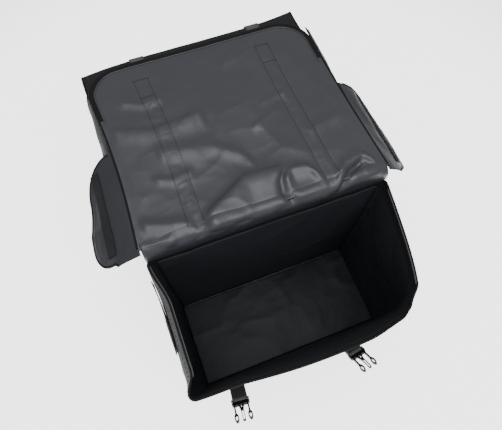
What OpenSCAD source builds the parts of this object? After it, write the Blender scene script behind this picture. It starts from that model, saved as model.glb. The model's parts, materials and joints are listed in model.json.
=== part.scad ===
// Double pannier bag: two tapered box bags joined by a yoke that rests on a rack.
// Frame: millimetres. Origin at the centre of the rack pad's underside.
// +X along the lid hinges, +Y from the open bag towards the closed bag, +Z up.
// Rest pose: open bag at -Y with its lid thrown back over the closed bag at +Y.

/* [Output] */
// Which sub-part to make, or all of them
// Roundness of curved edges
facets = 24; // [12:4:48]

/* [Bag body] */
// Outside width of each bag along the hinge, at the rim
bag_w = 380; // [280:5:480]
// Outside depth of each bag at the rim
bag_d = 190; // [130:5:240]
// Height of each bag from the floor to the rim
bag_h = 320; // [240:5:420]
// How much the outer face leans in towards the base
face_taper = 20; // [0:1:40]
// How much each end leans in towards the base
end_taper = 8; // [0:1:24]
// Thickness of the padded fabric panels
panel_t = 2.5; // [1.5:0.1:4]
// Thickness of the stiffening boards
board_t = 2.5; // [1.5:0.1:4]

/* [Yoke] */
// Clear width between the two bags, where the rack goes
rack_gap = 150; // [110:5:200]
// Thickness of the rack pad
pad_t = 2.5; // [1:0.1:5]
// Width of the rack pad across the rack
pad_w = 104; // [60:2:120]
// Length of the rack pad along the rack
pad_l = 300; // [200:5:360]
// Thickness of the yoke panel
yoke_t = 2.5; // [1.5:0.1:4]
// How far the yoke's edges run down the bags' backs
yoke_drop = 30; // [10:1:60]

/* [Lids] */
// Overhang of a lid past each end of its bag
lid_over = 4; // [2:0.5:10]
// How far a lid reaches out past its bag's face before the flap turns down
lid_reach = 12; // [8:1:25]
// Length of the front flap from the fold to its edge
flap_l = 119; // [80:1:150]
// Corner radius of the front flap
flap_r = 58; // [20:1:80]
// Thickness of the outer shell of a lid
shell_t = 1.5; // [0.8:0.1:2.5]
// Thickness of the grey lining of a lid
lining_t = 1; // [0.5:0.1:2]
// Width of the edge binding round the flap
binding_w = 9; // [5:0.5:15]
// Height of the lid hinge line above the rim
hinge_z = 13; // [12:0.5:18]
// Gap between a shut lid's lining and the rim
lid_gap = 2.5; // [2.2:0.1:5]

/* [Ears] */
// Width of an ear, out from the lid's edge
ear_w = 74; // [45:1:90]
// Length of an ear along the lid's edge
ear_l = 168; // [120:1:205]
// How far the open bag's ears droop below its lid
ear_droop = 30; // [10:1:45]
// Width of the hook and loop tapes
tape_w = 14; // [10:1:25]
// Thickness of the hook and loop tapes
tape_t = 1; // [0.6:0.1:1.5]

/* [Straps] */
// Width of the webbing
web_w = 25; // [20:1:25]
// Thickness of the webbing
web_t = 1.6; // [1:0.1:1.8]
// Distance of each strap from the middle of the bag
strap_x = 105; // [70:1:140]
// Depth below the rim at which the buckle tabs leave the face
tab_depth = 175; // [150:5:230]
// Length of webbing between a tab's seam and its buckle
tab_l = 34; // [12:1:40]
// How far the open bag's slack face carries its left tab towards -X
tab_shift_left = 20; // [0:1:40]
// How far the open bag's slack face carries its right tab towards -X
tab_shift_right = 38; // [0:1:50]
// Upward slant of the open bag's tabs
tab_lift = 42; // [10:1:45]
// Turn of the open bag's left tab towards +X
tab_yaw_left = -6; // [-30:1:30]
// Turn of the open bag's right tab towards +X
tab_yaw_right = 10; // [-30:1:30]

/* [Buckles] */
// Width of the socket half of a buckle
female_w = 32; // [30:0.5:40]
// Length of the socket half of a buckle
female_l = 33; // [28:1:42]
// Thickness of the socket half of a buckle
female_t = 10; // [8:0.5:12]
// Length of the prongs past the plug's base
prong_l = 30; // [24:1:36]
// Thickness of the plug half of a buckle
male_t = 5; // [4.8:0.1:6]

/* [Hidden] */
$fn = facets;
half_gap = rack_gap / 2;
lid_t = shell_t + lining_t;
lid_n = hinge_z - lid_gap - lid_t;
mid_n = lid_n + lid_t / 2;
hinge_y = half_gap - 3;
face_y = half_gap + bag_d;
lid_w = bag_w + 2 * lid_over;
lid_l = face_y - hinge_y + lid_reach;
lid_start = 4.0;
lid_end = lid_l - 1.5;
flap_start = 1.5;
ear_x = lid_w / 2 + 1.5;
top_z = 0;
tab_y = face_y - face_taper * tab_depth / bag_h + web_t + 7;
male_w = web_w + 3.4;
base_l = 12;
slot_l = 4;
bar_l = 2.4;
prong_x = male_w / 2 - 3.6;
fem_y = flap_l + 1.5 - female_l;
black = [0.09, 0.09, 0.1];
grey = [0.32, 0.33, 0.35];
webbing = [0.07, 0.07, 0.075];
plastic = [0.05, 0.05, 0.055];
piping = [0.45, 0.46, 0.48];
boardc = [0.16, 0.18, 0.22];

// A block between two rectangles given as [x0, x1, y0, y1] at a low and a high z
module slab(lo, zlo, hi, zhi) {
  polyhedron(
    points = [
      [lo[0], lo[2], zlo], [lo[1], lo[2], zlo], [lo[1], lo[3], zlo], [lo[0], lo[3], zlo],
      [hi[0], hi[2], zhi], [hi[1], hi[2], zhi], [hi[1], hi[3], zhi], [hi[0], hi[3], zhi]],
    faces = [[0, 1, 2, 3], [7, 6, 5, 4], [4, 5, 1, 0], [5, 6, 2, 1], [6, 7, 3, 2], [7, 4, 0, 3]]);
}

// A box from its low corner to its high corner
module span(x0, x1, y0, y1, z0, z1) {
  translate([x0, y0, z0]) cube([x1 - x0, y1 - y0, z1 - z0]);
}

// Half width and face position of a bag at a height below the rim
function half_w(z) = bag_w / 2 + end_taper * z / bag_h;
function front_y(z) = face_y + face_taper * z / bag_h;

// ---- bag body, built for the +Y bag; the -Y bag is its mirror image ----

module back_panel() {
  z0 = -bag_h + panel_t;
  slab([-half_w(z0), half_w(z0), half_gap, half_gap + panel_t], z0,
       [-half_w(0), half_w(0), half_gap, half_gap + panel_t], top_z);
}

module face_panel() {
  z0 = -bag_h + panel_t;
  slab([-half_w(z0), half_w(z0), front_y(z0) - panel_t, front_y(z0)], z0,
       [-half_w(0), half_w(0), front_y(0) - panel_t, front_y(0)], top_z);
}

module end_panel(side) {
  z0 = -bag_h + panel_t;
  a = side > 0 ? half_w(z0) - panel_t : -half_w(z0);
  b = side > 0 ? half_w(0) - panel_t : -half_w(0);
  slab([a, a + panel_t, half_gap + panel_t, front_y(z0) - panel_t], z0,
       [b, b + panel_t, half_gap + panel_t, front_y(0) - panel_t], top_z);
}

module base_panel() {
  z1 = -bag_h + panel_t;
  span(-half_w(-bag_h), half_w(-bag_h), half_gap, front_y(-bag_h), -bag_h, z1);
}

module base_board() {
  z0 = -bag_h + panel_t;
  m = panel_t + 2;
  span(-half_w(z0) + m, half_w(z0) - m, half_gap + panel_t + board_t + 1, front_y(z0) - m,
       z0, z0 + board_t);
}

module back_board() {
  z0 = -bag_h + panel_t;
  m = panel_t + 4;
  span(-half_w(z0) + m, half_w(z0) - m, half_gap + panel_t, half_gap + panel_t + board_t,
       z0, -12);
}

module rim_binding() {
  h = 1.2;
  w = half_w(0) + 0.6;
  difference() {
    span(-w, w, half_gap + panel_t, face_y + 0.6, 0, h);
    span(-w + panel_t + 1.6, w - panel_t - 1.6, half_gap, face_y - panel_t - 1, -1, h + 1);
  }
}

module face_strap(x) {
  z1 = -tab_depth;
  z0 = z1 - 105;
  slab([x - web_w / 2, x + web_w / 2, front_y(z0), front_y(z0) + web_t], z0,
       [x - web_w / 2, x + web_w / 2, front_y(z1), front_y(z1) + web_t], z1);
  // folded end that the tab grows from
  span(x - web_w / 2, x + web_w / 2, front_y(z1) - 0.3, front_y(z1) + web_t + 2.4, z1, z1 + 3.2);
}

module face_straps(shift_left, shift_right) {
  difference() {
    union() {
      face_strap(-strap_x - shift_left);
      face_strap(strap_x - shift_right);
    }
    face_panel();
  }
}

module loop_tape(side) {
  z1 = -24;
  z0 = z1 - tape_w - 10;
  y0 = half_gap + 24;
  y1 = y0 + ear_l - 62;
  a = side > 0 ? half_w(z0) : -half_w(z0) - tape_t;
  b = side > 0 ? half_w(z1) : -half_w(z1) - tape_t;
  slab([a, a + tape_t, y0, y1], z0, [b, b + tape_t, y0, y1], z1);
}

module loop_tapes() {
  loop_tape(1);
  loop_tape(-1);
}

module hinge_tape() {
  z0 = pad_t + yoke_t;
  span(-lid_w / 2 + 6, lid_w / 2 - 6, hinge_y - 0.8, hinge_y + 0.8, z0, hinge_z - 1.2);
}

// ---- yoke ----

module yoke_shape() {
  z1 = pad_t + yoke_t;
  span(-bag_w / 2, bag_w / 2, -half_gap, half_gap, pad_t, z1);
  for (s = [-1, 1])
    span(-bag_w / 2 + 2, bag_w / 2 - 2, s > 0 ? half_gap - yoke_t : -half_gap,
         s > 0 ? half_gap : -half_gap + yoke_t, -yoke_drop, pad_t + 0.5);
}

module pad_shape() {
  span(-pad_l / 2, pad_l / 2, -pad_w / 2, pad_w / 2, 0, pad_t);
}

// ---- lid, built flat: hinge at the origin, +Y away from it, +Z the lining side ----

module lid_panel() {
  span(-lid_w / 2, lid_w / 2, lid_start, lid_end, lid_n, lid_n + shell_t);
  span(-lid_w / 2, lid_w / 2, lid_start, lid_start + 1.6, 3, lid_n + 0.5);
}

module lid_lining() {
  span(-lid_w / 2 + 1, lid_w / 2 - 1, lid_start + 1, lid_end, lid_n + shell_t, lid_n + lid_t);
}

module lid_straps() {
  for (x = [-strap_x, strap_x])
    span(x - web_w / 2, x + web_w / 2, lid_start + 3, lid_end - 1, lid_n - web_t, lid_n);
}

// ---- flap, built flat: fold at the origin, mid-plane at z = 0 ----

module flap_outline(inset) {
  r = flap_r - inset;
  x1 = lid_w / 2 - inset;
  y1 = flap_l - inset;
  hull() {
    translate([-x1, flap_start]) square([2 * x1, 1]);
    for (s = [-1, 1]) translate([s * (x1 - r), y1 - r]) circle(r = r, $fn = 4 * facets);
  }
}

module flap_panel() {
  translate([0, 0, -lid_t / 2]) linear_extrude(shell_t) flap_outline(0);
}

module flap_lining() {
  translate([0, 0, lid_t / 2 - lining_t]) linear_extrude(lining_t) flap_outline(binding_w);
}

module flap_binding() {
  translate([0, 0, lid_t / 2 - lining_t]) linear_extrude(lining_t + 0.6) difference() {
    flap_outline(0);
    flap_outline(binding_w);
    translate([-lid_w, -1]) square([2 * lid_w, 6]);
  }
}

module flap_strap(x) {
  z = -lid_t / 2 - web_t;
  span(x - web_w / 2, x + web_w / 2, flap_start + 2, fem_y + bar_l + web_t, z, z + web_t);
  // the webbing drops through the slot behind the bar
  span(x - web_w / 2, x + web_w / 2, fem_y + bar_l, fem_y + bar_l + web_t,
       z - female_t + 1, z + 0.4);
}

module flap_straps() {
  flap_strap(-strap_x);
  flap_strap(strap_x);
}

// Socket half, lying under the strap with its mouth at the flap's edge
module female(x) {
  z1 = -lid_t / 2 - web_t;
  w = female_w / 2;
  translate([x, fem_y, z1 - female_t]) difference() {
    linear_extrude(female_t) hull() {
      translate([-w + 2, 0]) square([2 * w - 4, 1]);
      translate([-w, 9]) square([2 * w, female_l - 9]);
    }
    // cavity open at the mouth
    span(-w + 1.7, w - 1.7, 9.5, female_l + 1, 1.8, female_t - 1.8);
    // windows that the prongs snap into
    span(-w - 1, w + 1, 15, 26, 2.4, female_t - 2.4);
    // slot for the webbing
    span(-web_w / 2 - 0.3, web_w / 2 + 0.3, bar_l, bar_l + slot_l, -1, female_t + 1);
  }
}

// ---- ear, built flat: fold along Y at the origin, +X outwards ----

module ear_outline(inset) {
  y1 = ear_l - inset;
  x1 = ear_w - inset;
  hull() {
    translate([1.5, 8 + inset]) square([1, y1 - 8 - inset]);
    translate([x1 - 34, 44]) circle(r = 34, $fn = 2 * facets);
    translate([x1 - 60, y1 - 64]) circle(r = 58, $fn = 3 * facets);
  }
}

module ear_panel() {
  difference() {
    translate([0, 0, -lid_t / 2]) linear_extrude(lid_t) ear_outline(0);
    span(-90, 1.5, -5, ear_l + 60, -5, 5);
  }
}

module ear_hook() {
  span(ear_w / 2 - 1, ear_w / 2 - 1 + tape_w, 24, ear_l - 38, lid_t / 2, lid_t / 2 + tape_t);
}

// ---- tab and plug half, built level: seam at the origin, +Y outwards ----

module tab_loop() {
  z = 1 + web_t;
  y1 = tab_l + bar_l + web_t;
  // two layers round the bar and the closing fold behind it
  span(-web_w / 2, web_w / 2, 2.5, y1, 1, z);
  span(-web_w / 2, web_w / 2, 2.5, y1, -z, -1);
  span(-web_w / 2, web_w / 2, tab_l + bar_l, y1, -z, z);
  span(-web_w / 2, web_w / 2, 2.5, tab_l - 1.5, -1.2, 1.2);
}

module male_base() {
  w = male_w / 2;
  t = male_t / 2;
  difference() {
    translate([0, tab_l, -t]) linear_extrude(male_t) hull() {
      translate([-w, 0]) square([2 * w, base_l - 3]);
      translate([-w + 2.5, base_l - 1]) square([2 * w - 5, 1]);
    }
    // slot for the webbing, and the waist that leaves a flat bar
    span(-web_w / 2 - 0.3, web_w / 2 + 0.3, tab_l + bar_l, tab_l + bar_l + slot_l, -t - 1, t + 1);
    span(-web_w / 2 - 0.3, web_w / 2 + 0.3, tab_l - 1, tab_l + bar_l + 1, 1, t + 1);
    span(-web_w / 2 - 0.3, web_w / 2 + 0.3, tab_l - 1, tab_l + bar_l + 1, -t - 1, -1);
  }
  // centre guide: a Y that runs into a long narrow loop
  translate([0, tab_l + base_l - 0.5, -1.5]) linear_extrude(3) difference() {
    union() {
      hull() {
        translate([-4.5, 0]) square([9, 0.5]);
        translate([-2.4, 9]) square([4.8, 0.5]);
      }
      hull() {
        translate([-2.4, 9]) square([4.8, 0.5]);
        translate([0, prong_l - 1.9]) circle(r = 2.4);
      }
    }
    hull() {
      translate([0, 12]) circle(r = 1.1);
      translate([0, prong_l - 2.2]) circle(r = 1.1);
    }
    polygon([[-2.6, -1], [2.6, -1], [0, 6]]);
  }
}

// One springy prong: a thin stem that ends in an open oval loop
module prong(side) {
  y0 = tab_l + base_l + 0.4;
  translate([side * prong_x, y0, -male_t / 2 + 0.3]) linear_extrude(male_t - 0.6) difference() {
    union() {
      translate([-1.3, 0]) square([2.6, prong_l - 12]);
      translate([0, prong_l - 8]) resize([7, 15]) circle(r = 4);
    }
    translate([0, prong_l - 8]) resize([3.4, 10.4]) circle(r = 4);
  }
}

// ---- placing ----

// Lid of the open bag: its lining faces up and it reaches out over the other bag
module front_lid_at() { translate([0, -hinge_y, hinge_z]) children(); }
// Lid of the closed bag: its lining faces down onto the rim
module rear_lid_at() { translate([0, hinge_y, hinge_z]) mirror([0, 0, 1]) children(); }
module flap_at(a) { translate([0, lid_l, mid_n]) rotate([a, 0, 0]) children(); }
module ear_at(side, a) {
  mirror([side < 0 ? 1 : 0, 0, 0]) translate([ear_x, 0, mid_n]) rotate([0, -a, 0]) children();
}
module tab_at(x, yaw, lift) {
  translate([x, tab_y, -tab_depth + 1.6]) rotate([0, 0, -yaw]) rotate([lift, 0, 0]) children();
}
module to_front() { mirror([0, 1, 0]) children(); }

module yoke_panel() { color(black) yoke_shape(); }
module rack_pad() { color(boardc) pad_shape(); }
module front_back_panel() { color(black) to_front() back_panel(); }
module front_face_panel() { color(black) to_front() face_panel(); }
module front_end_left() { color(black) to_front() end_panel(-1); }
module front_end_right() { color(black) to_front() end_panel(1); }
module front_base_panel() { color(black) to_front() base_panel(); }
module front_base_board() { color(boardc) to_front() base_board(); }
module front_back_board() { color(boardc) to_front() back_board(); }
module front_rim_binding() { color(piping) to_front() rim_binding(); }
module front_face_straps() { color(webbing) to_front() face_straps(tab_shift_left, tab_shift_right); }
module front_loop_tapes() { color(webbing) to_front() loop_tapes(); }
module front_hinge_tape() { color(black) to_front() hinge_tape(); }

module rear_back_panel() { color(black) back_panel(); }
module rear_face_panel() { color(black) face_panel(); }
module rear_end_left() { color(black) end_panel(-1); }
module rear_end_right() { color(black) end_panel(1); }
module rear_base_panel() { color(black) base_panel(); }
module rear_base_board() { color(boardc) base_board(); }
module rear_back_board() { color(boardc) back_board(); }
module rear_rim_binding() { color(piping) rim_binding(); }
module rear_face_straps() { color(webbing) face_straps(0, 0); }
module rear_loop_tapes() { color(webbing) loop_tapes(); }
module rear_hinge_tape() { color(black) hinge_tape(); }

module front_lid_panel() { color(black) front_lid_at() lid_panel(); }
module front_lid_lining() { color(grey) front_lid_at() lid_lining(); }
module front_lid_straps() { color(webbing) front_lid_at() lid_straps(); }
module front_flap_panel() { color(black) front_lid_at() flap_at(0) flap_panel(); }
module front_flap_lining() { color(grey) front_lid_at() flap_at(0) flap_lining(); }
module front_flap_binding() { color(black) front_lid_at() flap_at(0) flap_binding(); }
module front_flap_straps() { color(webbing) front_lid_at() flap_at(0) flap_straps(); }
module front_female_left() { color(plastic) front_lid_at() flap_at(0) female(-strap_x); }
module front_female_right() { color(plastic) front_lid_at() flap_at(0) female(strap_x); }
module front_ear_left() { color(grey) front_lid_at() ear_at(-1, -ear_droop) ear_panel(); }
module front_ear_right() { color(grey) front_lid_at() ear_at(1, -ear_droop) ear_panel(); }
module front_hook_left() { color(webbing) front_lid_at() ear_at(-1, -ear_droop) ear_hook(); }
module front_hook_right() { color(webbing) front_lid_at() ear_at(1, -ear_droop) ear_hook(); }

module front_tab_left() { color(webbing) to_front() tab_at(-strap_x - tab_shift_left, tab_yaw_left, tab_lift) tab_loop(); }
module front_tab_right() { color(webbing) to_front() tab_at(strap_x - tab_shift_right, tab_yaw_right, tab_lift) tab_loop(); }
module front_male_left() { color(plastic) to_front() tab_at(-strap_x - tab_shift_left, tab_yaw_left, tab_lift) male_base(); }
module front_male_right() { color(plastic) to_front() tab_at(strap_x - tab_shift_right, tab_yaw_right, tab_lift) male_base(); }
module front_prong_left_a() { color(plastic) to_front() tab_at(-strap_x - tab_shift_left, tab_yaw_left, tab_lift) prong(-1); }
module front_prong_left_b() { color(plastic) to_front() tab_at(-strap_x - tab_shift_left, tab_yaw_left, tab_lift) prong(1); }
module front_prong_right_a() { color(plastic) to_front() tab_at(strap_x - tab_shift_right, tab_yaw_right, tab_lift) prong(-1); }
module front_prong_right_b() { color(plastic) to_front() tab_at(strap_x - tab_shift_right, tab_yaw_right, tab_lift) prong(1); }

module rear_lid_panel() {
  color(black) rear_lid_at() {
    lid_panel();
    translate([0, 0, -0.01]) lid_lining();
  }
}
module rear_lid_straps() { color(webbing) rear_lid_at() lid_straps(); }
module rear_flap_panel() {
  color(black) rear_lid_at() flap_at(90) {
    flap_panel();
    translate([0, 0, -0.01]) flap_lining();
    translate([0, 0, -0.01]) flap_binding();
  }
}
module rear_flap_straps() { color(webbing) rear_lid_at() flap_at(90) flap_straps(); }
module rear_female_left() { color(plastic) rear_lid_at() flap_at(90) female(-strap_x); }
module rear_female_right() { color(plastic) rear_lid_at() flap_at(90) female(strap_x); }
module rear_ear_left() {
  color(black) rear_lid_at() ear_at(-1, 90) { ear_panel(); translate([0, 0, -0.01]) ear_hook(); }
}
module rear_ear_right() {
  color(black) rear_lid_at() ear_at(1, 90) { ear_panel(); translate([0, 0, -0.01]) ear_hook(); }
}
module rear_tab_left() { color(webbing) tab_at(-strap_x, 0, -90) tab_loop(); }
module rear_tab_right() { color(webbing) tab_at(strap_x, 0, -90) tab_loop(); }
module rear_male_left() {
  color(plastic) tab_at(-strap_x, 0, -90) { male_base(); fixed_prongs(); }
}
module rear_male_right() {
  color(plastic) tab_at(strap_x, 0, -90) { male_base(); fixed_prongs(); }
}
module fixed_prongs() {
  for (s = [-1, 1]) translate([0, -0.9, 0]) prong(s);
}

yoke_panel();
rack_pad();
front_back_panel();
front_face_panel();
front_end_left();
front_end_right();
front_base_panel();
front_base_board();
front_back_board();
front_rim_binding();
front_face_straps();
front_loop_tapes();
front_hinge_tape();
rear_back_panel();
rear_face_panel();
rear_end_left();
rear_end_right();
rear_base_panel();
rear_base_board();
rear_back_board();
rear_rim_binding();
rear_face_straps();
rear_loop_tapes();
rear_hinge_tape();
front_lid_panel();
front_lid_lining();
front_lid_straps();
front_flap_panel();
front_flap_lining();
front_flap_binding();
front_flap_straps();
front_female_left();
front_female_right();
front_ear_left();
front_ear_right();
front_hook_left();
front_hook_right();
front_tab_left();
front_tab_right();
front_male_left();
front_male_right();
front_prong_left_a();
front_prong_left_b();
front_prong_right_a();
front_prong_right_b();
rear_lid_panel();
rear_lid_straps();
rear_flap_panel();
rear_flap_straps();
rear_female_left();
rear_female_right();
rear_ear_left();
rear_ear_right();
rear_tab_left();
rear_tab_right();
rear_male_left();
rear_male_right();
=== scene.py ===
import json
import math
import bpy
import bmesh
import numpy as np
from mathutils import Matrix, Vector


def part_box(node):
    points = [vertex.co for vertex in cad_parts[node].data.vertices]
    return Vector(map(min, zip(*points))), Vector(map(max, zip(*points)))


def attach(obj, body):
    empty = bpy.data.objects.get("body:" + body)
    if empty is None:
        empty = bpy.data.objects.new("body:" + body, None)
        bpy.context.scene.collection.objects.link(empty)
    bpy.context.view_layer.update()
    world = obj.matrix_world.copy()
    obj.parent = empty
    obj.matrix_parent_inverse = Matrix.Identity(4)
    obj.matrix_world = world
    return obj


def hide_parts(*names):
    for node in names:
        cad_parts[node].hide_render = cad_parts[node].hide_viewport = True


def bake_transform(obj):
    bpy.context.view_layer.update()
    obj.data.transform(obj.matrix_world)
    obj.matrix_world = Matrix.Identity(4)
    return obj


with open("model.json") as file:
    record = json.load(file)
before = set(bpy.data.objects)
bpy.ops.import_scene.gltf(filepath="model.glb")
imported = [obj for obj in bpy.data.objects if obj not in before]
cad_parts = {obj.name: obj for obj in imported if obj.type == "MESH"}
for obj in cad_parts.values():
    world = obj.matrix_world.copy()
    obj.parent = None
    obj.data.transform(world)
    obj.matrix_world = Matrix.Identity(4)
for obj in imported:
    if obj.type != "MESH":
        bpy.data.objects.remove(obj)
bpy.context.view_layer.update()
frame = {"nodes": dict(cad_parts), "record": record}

# Everything below is in metres, in the part's own frame: the origin under the yoke's rack pad,
# +X along the lid hinges, +Y from the open bag to the shut one, +Z up.
FRONT, REAR = -1, 1
PANEL = 0.0026          # padded fabric
WEB = 0.0016            # webbing thickness


def linear(code, alpha=1.0):
    """An sRGB hex colour as the linear one that a shader takes."""
    code = code.lstrip("#")
    out = []
    for i in (0, 2, 4):
        c = int(code[i:i + 2], 16) / 255
        out.append(c / 12.92 if c <= 0.04045 else ((c + 0.055) / 1.055) ** 2.4)
    return (*out, alpha)


# ---------------------------------------------------------------- materials

def put(tree, kind, links=None, **settings):
    """Adds one node: links maps a socket to a value or to another node's output."""
    n = tree.nodes.new(kind)
    for key, value in settings.items():
        setattr(n, key, value)
    for key, value in (links or {}).items():
        if isinstance(value, bpy.types.NodeSocket):
            tree.links.new(value, n.inputs[key])
        else:
            n.inputs[key].default_value = value
    return n


def finish_of(name, build):
    m = bpy.data.materials.new(name)
    m.use_nodes = True
    t = m.node_tree
    t.nodes.clear()
    shader = put(t, "ShaderNodeBsdfPrincipled")
    out = put(t, "ShaderNodeOutputMaterial")
    t.links.new(shader.outputs[0], out.inputs["Surface"])
    build(t, shader, put(t, "ShaderNodeTexCoord").outputs["Object"])
    return m


def two_tone(t, fac, dark, light):
    ramp = put(t, "ShaderNodeValToRGB", {"Fac": fac})
    ramp.color_ramp.elements[0].color = linear(dark)
    ramp.color_ramp.elements[1].color = linear(light)
    return ramp.outputs["Color"]


def weave(t, where, thread, turn=0.0):
    """A plain weave: two sets of threads at right angles, thread apart in metres."""
    w = put(t, "ShaderNodeMapping", {"Vector": where, "Rotation": (turn, turn * 0.7, turn)})
    k = 1.0 / thread / 6.2832 * 3.1416
    a = put(t, "ShaderNodeTexWave", {"Vector": w.outputs[0], "Scale": k / 10, "Distortion": 0.3},
            bands_direction="X")
    b = put(t, "ShaderNodeTexWave", {"Vector": w.outputs[0], "Scale": k / 10, "Distortion": 0.3},
            bands_direction="Y")
    c = put(t, "ShaderNodeTexWave", {"Vector": w.outputs[0], "Scale": k / 10, "Distortion": 0.3},
            bands_direction="Z")
    ab = put(t, "ShaderNodeMath", {0: a.outputs["Fac"], 1: b.outputs["Fac"]}, operation="MAXIMUM")
    return put(t, "ShaderNodeMath", {0: ab.outputs[0], 1: c.outputs["Fac"]}, operation="MAXIMUM").outputs[0]


def bumped(t, shader, height, strength, depth, under=None):
    links = {"Height": height, "Strength": strength, "Distance": depth}
    if under:
        links["Normal"] = under
    b = put(t, "ShaderNodeBump", links)
    t.links.new(b.outputs[0], shader.inputs["Normal"])
    return b.outputs[0]


def noise(t, where, scale, detail=4.0, rough=0.5, stretch=(1, 1, 1)):
    w = put(t, "ShaderNodeMapping", {"Vector": where, "Scale": stretch})
    return put(t, "ShaderNodeTexNoise", {"Vector": w.outputs[0], "Scale": scale, "Detail": detail,
                                         "Roughness": rough}).outputs["Fac"]


def coated_polyester(t, s, o):
    # 600 denier polyester, black, coated: a dull cloth with a faint sheen and soft crumples
    t.links.new(two_tone(t, noise(t, o, 18, 5), "#121314", "#1c1d1f"), s.inputs["Base Color"])
    s.inputs["Roughness"].default_value = 0.72
    s.inputs["Specular IOR Level"].default_value = 0.26
    s.inputs["Sheen Weight"].default_value = 0.08
    s.inputs["Sheen Roughness"].default_value = 0.5
    s.inputs["Sheen Tint"].default_value = linear("#8d9096")
    # threads drawn 1.2 mm apart, coarser than the real 0.5 mm, so that they show
    soft = bumped(t, s, noise(t, o, 38, 6, 0.6), 0.5, 0.004)
    bumped(t, s, weave(t, o, 0.0012), 0.25, 0.0006, soft)


def inner_polyester(t, s, o):
    # the coated back of the same cloth, seen inside the bags: nearly black, a little glossier
    t.links.new(two_tone(t, noise(t, o, 12, 4), "#25262b", "#303238"), s.inputs["Base Color"])
    s.inputs["Roughness"].default_value = 0.55
    s.inputs["Specular IOR Level"].default_value = 0.4
    soft = bumped(t, s, noise(t, o, 22, 4, 0.5), 0.4, 0.005)
    bumped(t, s, weave(t, o, 0.0015), 0.15, 0.0005, soft)


def pvc_lining(t, s, o):
    # grey PVC-coated lining: a satin skin with fine crumples that catch the light
    t.links.new(two_tone(t, noise(t, o, 9, 5, 0.55), "#2e3035", "#383a3f"), s.inputs["Base Color"])
    s.inputs["Roughness"].default_value = 0.40
    s.inputs["Specular IOR Level"].default_value = 0.52
    big = bumped(t, s, noise(t, o, 11, 2, 0.45), 0.35, 0.012)
    mid = bumped(t, s, noise(t, o, 42, 3, 0.5), 0.25, 0.002, big)
    bumped(t, s, weave(t, o, 0.0014), 0.10, 0.0004, mid)


def ear_lining(t, s, o):
    # the lid's grey lining again on the ears, its colour painted a shade darker as painted shade for the drooping
    # ears; duller too
    t.links.new(two_tone(t, noise(t, o, 14, 4, 0.55), "#222428", "#2c2e33"), s.inputs["Base Color"])
    s.inputs["Roughness"].default_value = 0.5
    s.inputs["Specular IOR Level"].default_value = 0.36
    soft = bumped(t, s, noise(t, o, 30, 3, 0.5), 0.30, 0.003)
    bumped(t, s, weave(t, o, 0.0014), 0.12, 0.0004, soft)


def woven_webbing(t, s, o):
    # 25 mm polypropylene webbing: cross ribs 2 mm apart along the strap, matt black
    t.links.new(two_tone(t, noise(t, o, 60, 3), "#101112", "#1e1f21"), s.inputs["Base Color"])
    s.inputs["Roughness"].default_value = 0.7
    s.inputs["Specular IOR Level"].default_value = 1.6
    uv = put(t, "ShaderNodeTexCoord").outputs["UV"]
    a = put(t, "ShaderNodeTexWave", {"Vector": uv, "Scale": 50.0, "Distortion": 0.6}, bands_direction="X")
    b = put(t, "ShaderNodeTexWave", {"Vector": uv, "Scale": 80.0, "Distortion": 0.4}, bands_direction="Y")
    mixed = put(t, "ShaderNodeMath", {0: a.outputs["Fac"], 1: b.outputs["Fac"]}, operation="MULTIPLY")
    bumped(t, s, mixed.outputs[0], 0.5, 0.0008)


def hook_tape(t, s, o):
    # hook and loop tape: a dense black pile, quite matt
    t.links.new(two_tone(t, noise(t, o, 900, 2), "#18191b", "#2c2d30"), s.inputs["Base Color"])
    s.inputs["Roughness"].default_value = 0.9
    s.inputs["Specular IOR Level"].default_value = 0.2
    bumped(t, s, noise(t, o, 1400, 2), 0.8, 0.001)


def acetal(t, s, o):
    # moulded black acetal: semi-gloss with a fine spark-eroded grain
    t.links.new(two_tone(t, noise(t, o, 40, 2), "#0b0c0d", "#111213"), s.inputs["Base Color"])
    s.inputs["Roughness"].default_value = 0.45
    s.inputs["IOR"].default_value = 1.42
    bumped(t, s, noise(t, o, 2600, 2), 0.15, 0.0002)


def grey_piping(t, s, o):
    # satin binding rolled over a cord: the light line round every edge
    t.links.new(two_tone(t, noise(t, o, 70, 3), "#303235", "#3f4144"), s.inputs["Base Color"])
    s.inputs["Roughness"].default_value = 0.38
    bumped(t, s, noise(t, o, 500, 3), 0.3, 0.0004)


def black_binding(t, s, o):
    # folded grosgrain tape along the cut edges, a shade duller than the shell
    t.links.new(two_tone(t, noise(t, o, 50, 3), "#0b0c0d", "#121314"), s.inputs["Base Color"])
    s.inputs["Specular IOR Level"].default_value = 0.2
    s.inputs["Roughness"].default_value = 0.7
    bumped(t, s, weave(t, o, 0.0010), 0.3, 0.0005)


def lined_board(t, s, o):
    # polyethylene board under a thin coated cloth: bluish black with a broad soft gleam
    t.links.new(two_tone(t, noise(t, o, 6, 3), "#101218", "#181b22"), s.inputs["Base Color"])
    s.inputs["Roughness"].default_value = 0.5
    s.inputs["Specular IOR Level"].default_value = 0.22
    soft = bumped(t, s, noise(t, o, 14, 4), 0.3, 0.006)
    bumped(t, s, weave(t, o, 0.0015), 0.12, 0.0004, soft)


def thread(t, s, o):
    # bonded polyester sewing thread, nearly black against the grey lining
    t.links.new(two_tone(t, noise(t, o, 900, 2), "#141516", "#1e1f21"), s.inputs["Base Color"])
    s.inputs["Roughness"].default_value = 0.55


def pale_thread(t, s, o):
    # the same thread in mid grey, seen against black cloth
    t.links.new(two_tone(t, noise(t, o, 900, 2), "#2c2d30", "#3a3c3f"), s.inputs["Base Color"])
    s.inputs["Roughness"].default_value = 0.55


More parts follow.
